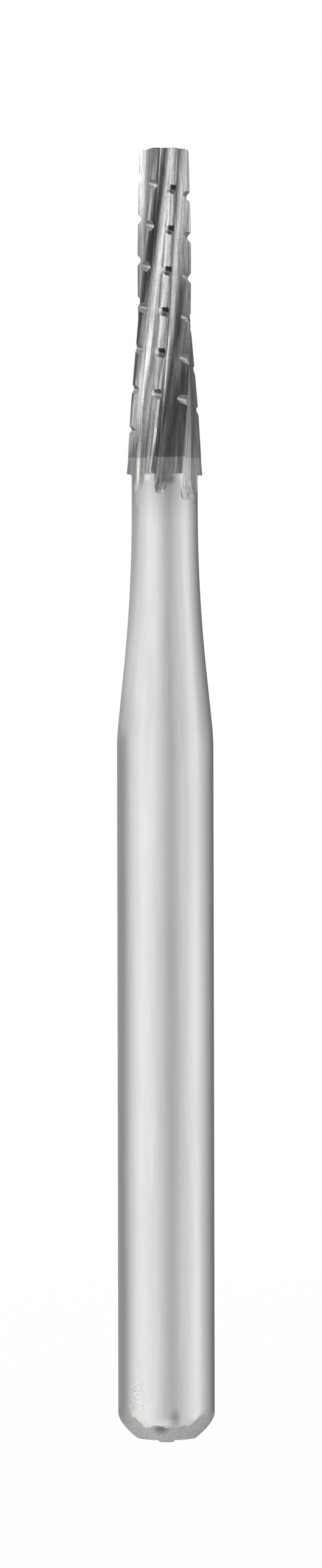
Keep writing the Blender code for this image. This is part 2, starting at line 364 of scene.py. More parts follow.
def flute_tool_for_gap(s, gap, core):
    """The wheel's sweep: up the tapering helix to the tip, and down into the neck as it lifts."""
    ledge = ledge_height(s)
    length_below = runout_length(s, core)
    obj = outline("flute", flute_section(s, gap, core))
    bottom = core * s.head_base_radius * (1.0 - s.base_extra)
    turn_selection(blade_angle(s, ledge - length_below), (0, 0, 0))
    lift = 1.0 + runout_lift(s, ledge - length_below) / bottom
    bpy.ops.transform.translate(value=(0, 0, -length_below))
    bpy.ops.transform.resize(value=(lift, lift, 1), center_override=(0, 0, ledge - length_below))
    levels = [ledge - length_below * (1 - i / RUNOUT_STATIONS) for i in range(RUNOUT_STATIONS + 1)]
    top = s.tip_z + TOOL_REACH
    levels += [ledge + (top - ledge) * i / FLUTE_STATIONS for i in range(1, FLUTE_STATIONS + 1)]

    def scale(z):
        if z < ledge:
            return 1.0 + runout_lift(s, z) / bottom
        return crest_radius(s, z) / s.head_base_radius

    def depth(z):
        return 1.0 - s.base_extra * base_share(s, z)

    deepen_floor(s, obj, levels[0], depth(levels[0]))
    for low, high in zip(levels, levels[1:]):
        bpy.ops.mesh.extrude_region_move(TRANSFORM_OT_translate={"value": (0, 0, high - low)})
        turn_selection(blade_angle(s, high) - blade_angle(s, low), (0, 0, 0))
        factor = scale(high) / scale(low)
        bpy.ops.transform.resize(value=(factor, factor, 1), center_override=(0, 0, high))
        if ledge < high < ledge + s.base_extra_length:
            deepen_floor(s, obj, high, depth(high) / depth(low))
    close_tool(obj)
    return obj


def flute_tool(s, material):
    """All flutes: the narrow and the wide one are modelled once, then copied round the axis."""
    offsets = blade_offsets(s)
    masters = {}
    copies = []
    for this_edge, next_edge in zip(offsets, offsets[1:] + [offsets[0] + math.tau]):
        gap = round(next_edge - this_edge, 6)
        wide = gap > 1.01 * s.blade_spacing
        if wide not in masters:
            masters[wide] = flute_tool_for_gap(s, gap, s.wide_core if wide else s.core)
        make_active(masters[wide])
        bpy.ops.object.duplicate()
        copy = bpy.context.object
        copies.append(copy)
        bpy.ops.object.mode_set(mode="EDIT")
        bpy.ops.mesh.select_all(action="SELECT")
        turn_selection(this_edge, (0, 0, 0))
        deselect_all()
    for master in masters.values():
        bpy.data.objects.remove(master, do_unlink=True)
    for copy in copies:
        copy.select_set(True)
    bpy.context.view_layer.objects.active = copies[0]
    bpy.ops.object.join()
    tool = bpy.context.object
    tool.name = "flute_tool"
    tool.data.materials.append(material)
    return tool


def crosscut_section(s, z):
    """V section of the crosscut wheel at the front, its rounded point towards the axis."""
    crest = crest_radius(s, z)
    centre = crest - s.crosscut_depth + s.crosscut_bottom
    span = math.pi / 2 - s.crosscut_half_angle
    points = arc(centre, 0.0, s.crosscut_bottom, math.pi - span, math.pi + span, CROSSCUT_ARC_STEPS)
    outer = crest + TOOL_REACH / 3
    flank_end, flank_z = points[-1]
    outer_z = abs(flank_z) + (outer - flank_end) * math.tan(s.crosscut_half_angle)
    points = [(outer, outer_z), *points, (outer, -outer_z)]
    return [polar(0.0, radius, z + rise) for radius, rise in points]


def crosscut_tool(s, material):
    """One left-handed groove that starts and ends in the air of a flute."""
    gap_beyond_group = math.tau / GROUPS - (s.blades_per_group - 1) * s.blade_spacing
    usable = s.head_length - s.crosscut_start - s.crosscut_margin
    sweep = math.tau * int(usable / s.crosscut_pitch) + s.blade_spacing + gap_beyond_group
    steps = math.ceil(sweep / CROSSCUT_STEP)
    start = ledge_height(s) + s.crosscut_start
    rise = s.crosscut_pitch * sweep / math.tau / steps
    angle = blade_angle(s, start) - s.blade_spacing / 2
    step = blade_angle(s, start + rise) - blade_angle(s, start) - sweep / steps
    inward = crest_radius(s, start) - crest_radius(s, start + rise)
    tool = outline("crosscut_tool", crosscut_section(s, start))
    turn_selection(angle, (0, 0, 0))
    for i in range(steps):
        shift = polar(angle, -inward, rise)
        bpy.ops.mesh.extrude_region_move(TRANSFORM_OT_translate={"value": shift})
        turn_selection(step, (0, 0, 0))
        angle += step
    close_tool(tool)
    tool.data.materials.append(material)
    return tool


def end_profile(s):
    """From the parting nub up over the flat and the rounding to the parallel shank."""
    nub_low = SHANK_LOW.z
    points = [(s.nub_radius - s.nub_chamfer, nub_low), (s.nub_radius, nub_low + s.nub_chamfer)]
    points += [(s.nub_radius, 0.0), (s.end_flat_radius, 0.0)]
    for i in range(1, END_STEPS + 1):
        t = i / END_STEPS
        radius = (1 - t) ** 2 * s.end_flat_radius + (2 * t * (1 - t) + t**2) * s.shank_radius
        z = 2 * t * (1 - t) * (s.end_round_length - s.end_round_pull) + t**2 * s.end_round_length
        points.append((radius, z))
    return points


def shoulder_profile(s):
    """The parallel shank's end, its soft blend, the cone and the wide arc into the neck."""
    top = ledge_height(s) - s.neck_length
    height = top - s.shank_length
    slope = math.atan2(s.shank_radius - s.neck_radius, height * (1.0 - s.shoulder_arc))
    half = math.tan(slope / 2)
    radius = height * s.shoulder_arc / half
    blend = arc(s.shank_radius - s.shank_blend, s.shank_length - s.shank_blend * half, s.shank_blend,
                0.0, slope, BLEND_STEPS)
    wide = arc(s.neck_radius + radius, top, radius, math.pi + slope, math.pi, SHOULDER_STEPS)
    return blend + wide


def ledge_profile(s):
    """The neck's fillet, the blades' ends and the blank up to the joint."""
    ledge = ledge_height(s)
    fillet = arc(s.neck_radius + s.ledge_fillet, ledge - s.ledge_fillet, s.ledge_fillet,
                 math.pi, math.pi / 2, FILLET_STEPS)
    return [*fillet, (s.head_base_radius, ledge), (crest_radius(s, s.joint_z), s.joint_z)]


def head_profile(s):
    rim = arc(s.head_tip_radius - s.tip_round, s.tip_z - s.tip_round, s.tip_round,
              0.0, math.pi / 2, RIM_STEPS)
    return [(crest_radius(s, s.joint_z), s.joint_z), *rim]


# Painted light and shade of the head: reflections, highlights and shade on the flutes, by the angle from
# the middle blade's edge in degrees. They were fitted to the brightness of the photo, which shows light
# and dark bands on the flutes' floors. The bands drift across the floors on the way down, by this angle
# per millimetre
FLOOR_DRIFT = math.radians(10)
TIP_FLOORS = ((-90, 0.5), (-54, 0.4), (-48, 0.9), (-43, 1.3), (-40, 1.0), (-37, 0.5), (-34, 0.3),
              (-31, 0.17), (-28, 0.14), (-25, 0.2), (-22, 0.34), (-19, 0.5), (-16, 0.76), (-13, 1.0),
              (-9, 1.35), (0, 1.3), (6, 0.8), (14, 0.48), (20, 0.32), (26, 0.6), (30, 0.9), (34, 1.2),
              (50, 1.45), (90, 1.0))
MIDDLE_FLOORS = ((-90, 0.5), (-40, 0.22), (-28, 0.13), (-24, 0.2), (-20, 0.55), (-15, 0.95), (-10, 1.32),
                 (-5, 1.42), (0, 1.28), (9, 1.15), (16, 1.0), (25, 0.85), (31, 0.85), (35, 1.0),
                 (41, 1.08), (44, 0.98), (48, 0.6), (52, 0.28), (55, 0.17), (59, 0.12), (64, 0.2),
                 (70, 0.6), (90, 1.0))
BASE_FLOORS = ((-90, 0.5), (-18, 0.12), (-13, 0.35), (-10, 0.9), (-7, 1.4), (-4, 1.9), (-1, 1.8), (2, 1.3),
               (5, 0.6), (11, 0.76), (19, 0.8), (26, 1.1), (34, 0.8), (38, 1.8), (41, 2.4), (44, 1.6),
               (47, 0.85), (50, 0.4), (53, 0.18), (56, 0.16), (60, 0.27), (64, 0.2), (68, 0.14),
               (74, 0.1), (80, 0.12), (90, 0.25))
# Millimetres above the blades' ends where one row of tones gives way to the next
BASE_TO_MIDDLE = (1.4, 2.6)
MIDDLE_TO_TIP = (3.0, 4.8)
# Past a group's last edge, and behind its first, the floors have one tone: where it takes over,
# from 0 to 1 over the half turn round the middle blade, and the tone
GROUP_SIDES = (((0.78, 0.84), 1.0), ((0.2, 0.16), 0.5))

# A painted dark line of shade along each edge
EDGE_SHADE = ((-90, 1.0), (-52, 1.0), (-49, 0.5), (-44, 1.0), (-6, 1.0), (-3, 0.5), (0, 0.75), (4, 1.0),
              (44, 1.0), (47, 0.8), (50, 1.0), (90, 1.0))
# The relief flats behind the middle blade's edge and the next one's: where they are, and their painted
# highlights and shade by the share of the head's height, fitted in the same way
RELIEF = ((-23, 0.0), (-17, 1.0), (-4, 1.0), (-1, 0.0))
RELIEF_TONES = ((0.0, 0.6), (0.17, 0.6), (0.3, 0.93), (0.45, 1.6), (0.6, 1.85), (0.76, 1.75), (0.9, 1.15),
                (1.0, 1.1))
SIDE_RELIEF = ((30, 0.0), (35, 1.0), (44, 1.0), (47, 0.0))
SIDE_RELIEF_TONES = ((0.0, 0.2), (0.2, 0.16), (0.3, 0.12), (0.45, 0.45), (0.6, 0.55), (0.76, 1.15),
                     (0.9, 1.3))
# The middle blade's edge has a painted highlight near the neck, from the first height in millimetres down
# and in full from the second
EDGE_HIGHLIGHT = ((-4, 0.0), (-2, 1.0), (2, 1.0), (5, 0.0))
EDGE_HIGHLIGHT_HEIGHTS = (1.4, 0.9)
EDGE_HIGHLIGHT_TONE = 1.9
# In the neck the painted shade of a run-out is no darker than this tone, reached at this depth in
# millimetres
RUNOUT_DEPTH = 0.4
RUNOUT_TONE = 0.6

# The middle blade's notches: painted nearly black shade at the edge and the relief's painted highlight
# tone behind it, but near the neck only painted light and shade by facing. The change comes between these
# heights in millimetres
SHADED_NOTCH = ((-14, 0.0), (-8, 1.0), (12, 1.0), (20, 0.0))
RELIEF_LIT_NOTCH = ((-24, 0.0), (-19, 1.0), (-13, 1.0), (-9, 0.0))
RELIEF_LIGHT_TONE = 1.5
NOTCH_SHADE_HEIGHTS = (1.0, 1.6)

# The matt back end, in millimetres: from the first to the second distance aside of the axis its
# upper limit climbs and gets softer
MATT_LIMIT_ASIDE = (0.36, 0.62)
MATT_LIMIT = (0.255, 0.46)
MATT_SOFTNESS_ASIDE = (0.5, 0.7)
MATT_SOFTNESS = (0.02, 0.22)
MATT_WANDER = 0.035
MATT_ROUGHNESS = 0.6
# The neck has painted light on its left, by this share, and painted shade below the blades' ends
NECK_HEIGHTS = (11.0, 13.0)
NECK_LEFT = (-0.3, -0.5)
NECK_PAINTED_LIGHT = 0.3
LEDGE_SHADE_START = 15.0
LEDGE_SHADE_TONE = 0.75
# Soft marks, in millimetres: centre, half size, change of tone. First a dark patch above the back
# end, then below the blades' ends painted shade where the flutes run out and painted highlights beside it
STEEL_MARKS = (((0.14, -0.7, 0.38), (0.13, 0.5, 0.26), -0.4),
               ((0.1, -0.54, 15.87), (0.12, 0.3, 0.16), -0.5),
               ((-0.46, -0.3, 15.83), (0.09, 0.3, 0.25), -0.4),
               ((-0.29, -0.46, 15.9), (0.1, 0.3, 0.09), 0.3),
               ((0.3, -0.46, 15.9), (0.14, 0.3, 0.11), 0.35))
SPECKLED_MARK = ((-0.52, -0.6, 0.65), (0.3, 0.8, 0.75), 0.4)
MATT_DARK_PATCH = ((-0.09, -0.6, 0.21), (0.19, 0.5, 0.13), -0.65)


# Shader building


def new_node(tree, kind, **settings):
    node = tree.nodes.new(kind)
    for name, value in settings.items():
        setattr(node, name, value)
    return node


def feed(tree, socket, value):
    """Links a socket to another, or sets its own value."""
    if isinstance(value, bpy.types.NodeSocket):
        tree.links.new(value, socket)
    else:
        socket.default_value = value


def calc(tree, operation, *values, clamp=False):
    node = new_node(tree, "ShaderNodeMath", operation=operation, use_clamp=clamp)
    for socket, value in zip(node.inputs, values):
        feed(tree, socket, value)
    return node.outputs[0]


def ranged(tree, value, low, high, to_low=0.0, to_high=1.0, smooth=True):
    kind = "SMOOTHSTEP" if smooth else "LINEAR"
    node = new_node(tree, "ShaderNodeMapRange", interpolation_type=kind)
    for socket, number in zip(node.inputs, (value, low, high, to_low, to_high)):
        feed(tree, socket, number)
    return node.outputs[0]


def spread(tree, share, low, high):
    """A share from 0 to 1, spread evenly between two values."""
    return ranged(tree, share, 0.0, 1.0, low, high, smooth=False)


def mixed(tree, factor, low, high):
    node = new_node(tree, "ShaderNodeMix", data_type="FLOAT")
    feed(tree, node.inputs[0], factor)
    feed(tree, node.inputs[2], low)
    feed(tree, node.inputs[3], high)
    return node.outputs[0]


def ramp(tree, factor, stops):
    """Grey tones at the given places between 0 and 1."""
    node = new_node(tree, "ShaderNodeValToRGB")
    elements = node.color_ramp.elements
    while len(elements) < len(stops):
        elements.new(0.5)
    for element, (place, tone) in zip(elements, stops):
        element.position = place
        element.color = (tone, tone, tone, 1.0)
    feed(tree, node.inputs[0], factor)
    return node.outputs[0]


def noise(tree, vector, scale, detail, roughness):
    node = new_node(tree, "ShaderNodeTexNoise")
    feed(tree, node.inputs["Vector"], vector)
    for title, value in (("Scale", scale), ("Detail", detail), ("Roughness", roughness)):
        feed(tree, node.inputs[title], value)
    return node.outputs["Fac"]


def stretched(tree, vector, scale):
    node = new_node(tree, "ShaderNodeMapping")
    feed(tree, node.inputs["Vector"], vector)
    node.inputs["Scale"].default_value = scale
    return node.outputs[0]


def new_group(name, inputs, outputs):
    tree = bpy.data.node_groups.new(name, "ShaderNodeTree")
    for title, kind, default in inputs:
        socket = tree.interface.new_socket(title, in_out="INPUT", socket_type=kind)
        if default is not None:
            socket.default_value = default
    for title, kind in outputs:
        tree.interface.new_socket(title, in_out="OUTPUT", socket_type=kind)
    source = new_node(tree, "NodeGroupInput")
    target = new_node(tree, "NodeGroupOutput")
    return tree, source.outputs, target.inputs


def place_group(tree, group, **values):
    node = new_node(tree, "ShaderNodeGroup", node_tree=group)
    for title, value in values.items():
        feed(tree, node.inputs[title.replace("_", " ").capitalize()], value)
    return node.outputs


def round_the_axis(tree, parts):
    """The angle round the axis, from the front towards +X."""
    return calc(tree, "ARCTAN2", parts["X"], calc(tree, "MULTIPLY", parts["Y"], -1.0))


def in_millimetres(tree, position):
    """The position in millimetres, whole and by its parts X, Y and Z."""
    scale = new_node(tree, "ShaderNodeVectorMath", operation="SCALE")
    feed(tree, scale.inputs[0], position)
    scale.inputs["Scale"].default_value = MM
    parts = new_node(tree, "ShaderNodeSeparateXYZ")
    feed(tree, parts.inputs[0], scale.outputs[0])
    return scale.outputs[0], parts.outputs


def blade_space_group(s):
    """Object coordinates in millimetres, with the blades' twist taken out."""
    tree, given, result = new_group(
        "Blade space",
        [("Position", "NodeSocketVector", None)],
        [("Straight", "NodeSocketVector"), ("Turn", "NodeSocketFloat"), ("Drift", "NodeSocketFloat"),
         ("Height", "NodeSocketFloat")],
    )
    place, parts = in_millimetres(tree, given["Position"])
    height = calc(tree, "SUBTRACT", parts["Z"], ledge_height(s) * MM)
    twist = calc(tree, "MULTIPLY", height, -math.tau / (s.blade_lead * MM))
    twist = calc(tree, "SUBTRACT", twist, s.middle_blade)
    rotate = new_node(tree, "ShaderNodeVectorRotate", rotation_type="Z_AXIS")
    feed(tree, rotate.inputs["Vector"], place)
    feed(tree, rotate.inputs["Angle"], twist)
    straight = new_node(tree, "ShaderNodeSeparateXYZ")
    feed(tree, straight.inputs[0], rotate.outputs[0])
    turn = round_the_axis(tree, straight.outputs)
    below_tip = calc(tree, "SUBTRACT", s.head_length * MM, height)
    drifted = calc(tree, "ADD", turn, calc(tree, "MULTIPLY", below_tip, FLOOR_DRIFT))
    for title, angle in (("Turn", turn), ("Drift", drifted)):
        double = calc(tree, "MULTIPLY", angle, float(GROUPS))
        folded = calc(tree, "ARCTAN2", calc(tree, "SINE", double), calc(tree, "COSINE", double))
        feed(tree, result[title], ranged(tree, folded, -math.pi, math.pi, smooth=False))
    feed(tree, result["Straight"], rotate.outputs[0])
    feed(tree, result["Height"], height)
    return tree


def grinding_lines_group():
    """Fine lines along one direction: stretched noise, coarse and fine, as tone and height."""
    tree, given, result = new_group(
        "Grinding lines",
        [("Vector", "NodeSocketVector", None), ("Coarse", "NodeSocketFloat", 0.5)],
        [("Tone", "NodeSocketFloat"), ("Fine", "NodeSocketFloat")],
    )
    coarse = noise(tree, given["Vector"], 16.0, 2.0, 0.6)
    fine = noise(tree, given["Vector"], 48.0, 3.0, 0.65)
    mix = calc(tree, "ADD", calc(tree, "MULTIPLY", coarse, given["Coarse"]),
               calc(tree, "MULTIPLY", fine, calc(tree, "SUBTRACT", 1.0, given["Coarse"])))
    feed(tree, result["Tone"], ranged(tree, mix, 0.32, 0.68))
    feed(tree, result["Fine"], fine)
    return tree


def grain_group():
    """Fine mottling without a direction, such as a blasted or sintered surface has."""
    tree, given, result = new_group(
        "Metal grain",
        [("Vector", "NodeSocketVector", None), ("Scale", "NodeSocketFloat", 20.0)],
        [("Tone", "NodeSocketFloat")],
    )
    mottle = noise(tree, given["Vector"], given["Scale"], 4.0, 0.65)
    feed(tree, result["Tone"], ranged(tree, mottle, 0.3, 0.7))
    return tree


def across_blades(tree, turn, stops):
    """Tones round the axis, placed in degrees from the middle blade's edge."""
    return ramp(tree, turn, [(0.5 + place / 180.0, tone) for place, tone in stops])


def painted_flute_shading_group(s):
    """Painted light and shade of the flutes' floors, lands and faces, by the angle from the middle blade's
    edge.
    """
    tree, given, result = new_group(
        "Painted flute shading",
        [("Turn", "NodeSocketFloat", 0.5), ("Drift", "NodeSocketFloat", 0.5),
         ("Height", "NodeSocketFloat", 0.0)],
        [("Tone", "NodeSocketFloat")],
    )
    turn, drift, height = (given[title] for title in ("Turn", "Drift", "Height"))
    base, middle, tip = (across_blades(tree, drift, row)
                         for row in (BASE_FLOORS, MIDDLE_FLOORS, TIP_FLOORS))
    tones = mixed(tree, ranged(tree, height, *BASE_TO_MIDDLE), base, middle)
    tones = mixed(tree, ranged(tree, height, *MIDDLE_TO_TIP), tones, tip)
    for limits, tone in GROUP_SIDES:
        tones = mixed(tree, ranged(tree, turn, *limits), tones, tone)
    share_of_head = ranged(tree, height, 0.0, s.head_length * MM, smooth=False)
    for place, relief_painted_light in ((RELIEF, RELIEF_TONES), (SIDE_RELIEF, SIDE_RELIEF_TONES)):
        tones = mixed(tree, across_blades(tree, turn, place), tones, ramp(tree, share_of_head, relief_painted_light))
    edge_highlight = calc(tree, "MULTIPLY", across_blades(tree, turn, EDGE_HIGHLIGHT),
                ranged(tree, height, *EDGE_HIGHLIGHT_HEIGHTS))
    tones = mixed(tree, edge_highlight, tones, EDGE_HIGHLIGHT_TONE)
    tones = calc(tree, "MAXIMUM", tones, ranged(tree, height, 0.0, -RUNOUT_DEPTH, 0.0, RUNOUT_TONE))
    tones = calc(tree, "MULTIPLY", tones, across_blades(tree, turn, EDGE_SHADE))
    feed(tree, result["Tone"], tones)
    return tree


def group(name):
    return bpy.data.node_groups[name]


def new_metal(name):
    material = bpy.data.materials.new(name)
    material.use_nodes = True
    tree = material.node_tree
    shader = tree.nodes["Principled BSDF"]
    shader.inputs["Metallic"].default_value = 1.0
    position = new_node(tree, "ShaderNodeTexCoord").outputs["Object"]
    return material, tree, shader, position


def tinted(tree, base, tone):
    """The metal's colour times a tone."""
    node = new_node(tree, "ShaderNodeVectorMath", operation="SCALE")
    node.inputs[0].default_value = base
    feed(tree, node.inputs["Scale"], tone)
    return node.outputs[0]


def bump(tree, shader, height, distance, strength):
    node = new_node(tree, "ShaderNodeBump")
    node.inputs["Strength"].default_value = strength
    node.inputs["Distance"].default_value = distance
    feed(tree, node.inputs["Height"], height)
    feed(tree, shader.inputs["Normal"], node.outputs[0])


def flute_material(name, base, roughness, depth):
    """A flute's finish: lines along the blades over the painted light and shade, as strong as depth says.
    """
    material, tree, shader, position = new_metal(name)
    space = place_group(tree, group("Blade space"), position=position)
    vector = stretched(tree, space["Straight"], (1.0, 1.0, 0.04))
    lines = place_group(tree, group("Grinding lines"), vector=vector, coarse=0.45)
    grain = place_group(tree, group("Metal grain"), vector=space["Straight"], scale=22.0)
    painted_flute_shading = place_group(tree, group("Painted flute shading"), turn=space["Turn"], drift=space["Drift"],
                               height=space["Height"])
    tone = calc(tree, "POWER", painted_flute_shading["Tone"], depth)
    tone = calc(tree, "MULTIPLY", tone, spread(tree, lines["Tone"], 0.6, 1.4))
    tone = calc(tree, "MULTIPLY", tone, spread(tree, grain["Tone"], 0.9, 1.1))
    tone = calc(tree, "ADD", tone, ranged(tree, lines["Tone"], 0.6, 1.0, 0.0, 0.06))
    feed(tree, shader.inputs["Base Color"], tinted(tree, base, tone))
    feed(tree, shader.inputs["Roughness"], spread(tree, lines["Tone"], roughness + 0.05, roughness - 0.05))
    bump(tree, shader, lines["Fine"], 0.000004, 0.35)
    return material


def crosscut_material(name, base, roughness):
    """The notches: painted dark shade on the middle blade; on the others and near the neck, painted light
    and shade by facing.
    """
    material, tree, shader, position = new_metal(name)
    space = place_group(tree, group("Blade space"), position=position)
    grain = place_group(tree, group("Metal grain"), vector=space["Straight"], scale=40.0)
    facing = new_node(tree, "ShaderNodeSeparateXYZ")
    feed(tree, facing.inputs[0], new_node(tree, "ShaderNodeNewGeometry").outputs["Normal"])
    upper = ranged(tree, space["Height"], *NOTCH_SHADE_HEIGHTS)
    notch_shade, relief_lit = (calc(tree, "MULTIPLY", across_blades(tree, space["Turn"], place), upper)
                    for place in (SHADED_NOTCH, RELIEF_LIT_NOTCH))
    # Painted light and shade by which way a flank faces: lighter facing up, darker facing down
    facing_lit_flanks = ranged(tree, facing.outputs["Z"], -0.6, 0.5, 0.45, 1.5)
    notch_shade_flanks = ranged(tree, facing.outputs["Z"], -0.3, 0.7, 0.1, 0.75)
    flanks = mixed(tree, relief_lit, mixed(tree, notch_shade, facing_lit_flanks, notch_shade_flanks), RELIEF_LIGHT_TONE)
    tone = calc(tree, "MULTIPLY", flanks, spread(tree, grain["Tone"], 0.8, 1.2))
    feed(tree, shader.inputs["Base Color"], tinted(tree, base, tone))
    shader.inputs["Roughness"].default_value = roughness
    return material


def spot(tree, place, centre, size):
    """A soft spot: 1 at its centre, 0 from the given half sizes on."""
    offset = new_node(tree, "ShaderNodeVectorMath", operation="SUBTRACT")
    feed(tree, offset.inputs[0], place)
    offset.inputs[1].default_value = centre
    scaled = new_node(tree, "ShaderNodeVectorMath", operation="DIVIDE")
    feed(tree, scaled.inputs[0], offset.outputs[0])
    scaled.inputs[1].default_value = size
    distance = new_node(tree, "ShaderNodeVectorMath", operation="LENGTH")
    feed(tree, distance.inputs[0], scaled.outputs[0])
    return ranged(tree, distance.outputs["Value"], 1.0, 0.0)


def altered(tree, tone, mask, change):
    """The tone, brighter or darker by a share of itself where the mask is 1."""
    return calc(tree, "MULTIPLY", tone, calc(tree, "ADD", 1.0, calc(tree, "MULTIPLY", mask, change)))


def matt_share(tree, place, parts):
    """1 on the matt back end, 0 above its ragged limit."""
    aside = calc(tree, "ABSOLUTE", parts["X"])
    limit = ranged(tree, aside, *MATT_LIMIT_ASIDE, *MATT_LIMIT, smooth=False)
    ragged = noise(tree, place, 6.0, 4.0, 0.65)
    wander = ranged(tree, ragged, 0.3, 0.7, -MATT_WANDER, MATT_WANDER, smooth=False)
    softness = ranged(tree, aside, *MATT_SOFTNESS_ASIDE, *MATT_SOFTNESS)
    depth = calc(tree, "SUBTRACT", calc(tree, "ADD", limit, wander), parts["Z"])
    return calc(tree, "ADD", calc(tree, "DIVIDE", depth, softness), 0.5, clamp=True)


def clean_steel_tone(s, tree, place, parts, lines, grain):
    """Tone of the ground steel, with its lines, its painted light and shade, and its soft marks."""
    rings, streaks = lines
    tone = calc(tree, "MULTIPLY", spread(tree, rings, 0.99, 1.01), spread(tree, streaks, 0.955, 1.045))
    neck_left_painted_light = calc(tree, "MULTIPLY", ranged(tree, parts["Z"], *NECK_HEIGHTS),
                        ranged(tree, parts["X"], *NECK_LEFT))
    tone = altered(tree, tone, neck_left_painted_light, NECK_PAINTED_LIGHT)
    ledge_shade = ranged(tree, parts["Z"], LEDGE_SHADE_START, ledge_height(s) * MM, 1.0, LEDGE_SHADE_TONE)
    tone = calc(tree, "MULTIPLY", tone, ledge_shade)
    centre, size, change = SPECKLED_MARK
    speckle = calc(tree, "MULTIPLY", calc(tree, "SUBTRACT", grain, 0.5), spot(tree, place, centre, size))
    tone = altered(tree, tone, speckle, change)
    # The marks below the blades' ends are painted shade and painted highlights
    for centre, size, change in STEEL_MARKS:
        tone = altered(tree, tone, spot(tree, place, centre, size), change)
    return tone


def steel_material(s, finishes):
    """Ground steel with faint lines round the shank and along it, and a blasted back end."""
    material, tree, shader, position = new_metal("ground_steel")
    place, parts = in_millimetres(tree, position)
    rings = place_group(tree, group("Grinding lines"), vector=stretched(tree, place, (0.12, 0.12, 1.0)),
                        coarse=0.3)
    streaks = place_group(tree, group("Grinding lines"), vector=stretched(tree, place, (0.3, 0.3, 0.02)),
                          coarse=0.7)
    grain = place_group(tree, group("Metal grain"), vector=place, scale=26.0)["Tone"]
    matt = matt_share(tree, place, parts)
    clean_tone = clean_steel_tone(s, tree, place, parts, (rings["Tone"], streaks["Tone"]), grain)
    centre, size, change = MATT_DARK_PATCH
    matt_tone = altered(tree, spread(tree, grain, 0.85, 1.15), spot(tree, place, centre, size), change)
    mix = new_node(tree, "ShaderNodeMix", data_type="RGBA")
    feed(tree, mix.inputs[0], matt)
    feed(tree, mix.inputs[6], tinted(tree, finishes.steel, clean_tone))
    feed(tree, mix.inputs[7], tinted(tree, finishes.blasted, matt_tone))
    feed(tree, shader.inputs["Base Color"], mix.outputs[2])
    feed(tree, shader.inputs["Roughness"], spread(tree, matt, finishes.steel_roughness, MATT_ROUGHNESS))
    bump(tree, shader, rings["Fine"], 0.000002, 0.15)
    return material


def finish_piece(obj, node):
    make_active(obj)
    bpy.ops.object.shade_smooth_by_angle(angle=SMOOTH_ANGLE)
    bpy.ops.object.transform_apply(location=True, rotation=True, scale=True)
    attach(obj, "root")
    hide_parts(node)
    deselect_all()


class DENTALBUR_OT_finish_groups(bpy.types.Operator):
    """Build the shader effects that the metals share"""

    bl_idname = "dental_bur.finish_groups"
    bl_label = "Shared Effects"

    def execute(self, context):
        blade_space_group(context.scene.dental_bur_sizes)
        grinding_lines_group()
        grain_group()
        painted_flute_shading_group(context.scene.dental_bur_sizes)
        return {"FINISHED"}


class DENTALBUR_OT_steel_shank(bpy.types.Operator):
    """Turn the steel shank with its neck and grind the lower ends of the flutes"""

    bl_idname = "dental_bur.steel_shank"
    bl_label = "Steel Shank"

    def execute(self, context):
        s = context.scene.dental_bur_sizes
        finishes = context.scene.dental_bur_finishes
        profile = end_profile(s) + shoulder_profile(s) + ledge_profile(s)
        shank = turned("turned_shank", profile, s.turned_segments)
        shank.data.materials.append(steel_material(s, finishes))
        roots = flute_material("steel_flutes", finishes.steel, finishes.steel_roughness, 0.75)
        ground(shank, flute_tool(s, roots))
        finish_piece(shank, "steel_shank")
        return {"FINISHED"}


class DENTALBUR_OT_carbide_head(bpy.types.Operator):
    """Turn the carbide head, grind its flutes and cut the notches across the blades"""

    bl_idname = "dental_bur.carbide_head"
    bl_label = "Carbide Head"

    def execute(self, context):
        s = context.scene.dental_bur_sizes
        finishes = context.scene.dental_bur_finishes
        head = turned("fluted_head", head_profile(s), s.turned_segments)
        flutes = flute_material("carbide_flutes", finishes.carbide, finishes.carbide_roughness, 1.0)
        head.data.materials.append(flutes)
        ground(head, flute_tool(s, flutes))
        notches = crosscut_material("carbide_crosscuts", finishes.carbide, 0.4)
        ground(head, crosscut_tool(s, notches))
        finish_piece(head, "carbide_head")
        return {"FINISHED"}


# Studio: brightness round the bur in degrees from the camera's side towards +X, for level
# reflections, for slightly raised ones, and for those from well above and well below. It was
# fitted to the bands that the photo shows on the shank
LEVEL_TONES = ((-180, 0.40), (-140, 0.37), (-124, 0.38), (-110, 0.50), (-96, 0.76), (-78, 1.00),
               (-56, 1.17), (-30, 1.06), (-16, 0.90), (0, 0.68), (14, 0.56), (24, 0.65), (36, 0.80),
               (52, 0.92), (74, 1.13), (86, 1.04), (100, 0.76), (116, 0.55), (134, 0.32), (152, 0.19),
               (180, 0.17))
RAISED_TONES = ((-180, 0.50), (-140, 0.58), (-118, 0.64), (-96, 0.72), (-78, 0.90), (-56, 1.12),
                (-30, 1.06), (-16, 0.90), (0, 0.70), (14, 0.60), (36, 0.80), (74, 1.05), (86, 0.95),
                (100, 0.70), (116, 0.50), (134, 0.32), (180, 0.17))
ABOVE_TONES = ((-180, 0.45), (-110, 0.20), (-60, 0.20), (0, 0.60), (80, 0.60), (180, 0.45))
BELOW_TONES = ((-180, 0.8), (-60, 1.1), (-20, 1.0), (15, 0.75), (80, 0.85), (180, 0.7))
RAISED_FROM = (0.03, 0.13)
ABOVE_FROM = (0.3, 0.75)
BELOW_FROM = (-0.3, -0.75)
LAMP_PLACE = (-0.05, -0.06, 0.12)
LAMP_TARGET = (0, 0, 0.01)
LAMP_SIZE = 0.08
LAMP_POWER = 0.02
CAMERA_DISTANCE = 0.1
PIXEL = 0.001 / 99.06
PHOTO_HEIGHT = 2576
PHOTO_WIDTH = 529
AXIS_PIXEL = 271.5
BACK_END_PIXEL = 2361
CAMERA_ROLL = math.radians(0.115)
FLOOR_DROP = 0.003
FLOOR_SIZE = 2.0
# The floor's own glow for the camera, which grows with the distance until it meets the white
GLOW_DISTANCES = (0.02, 0.15)
FLOOR_GLOW = (0.5, 0.58)


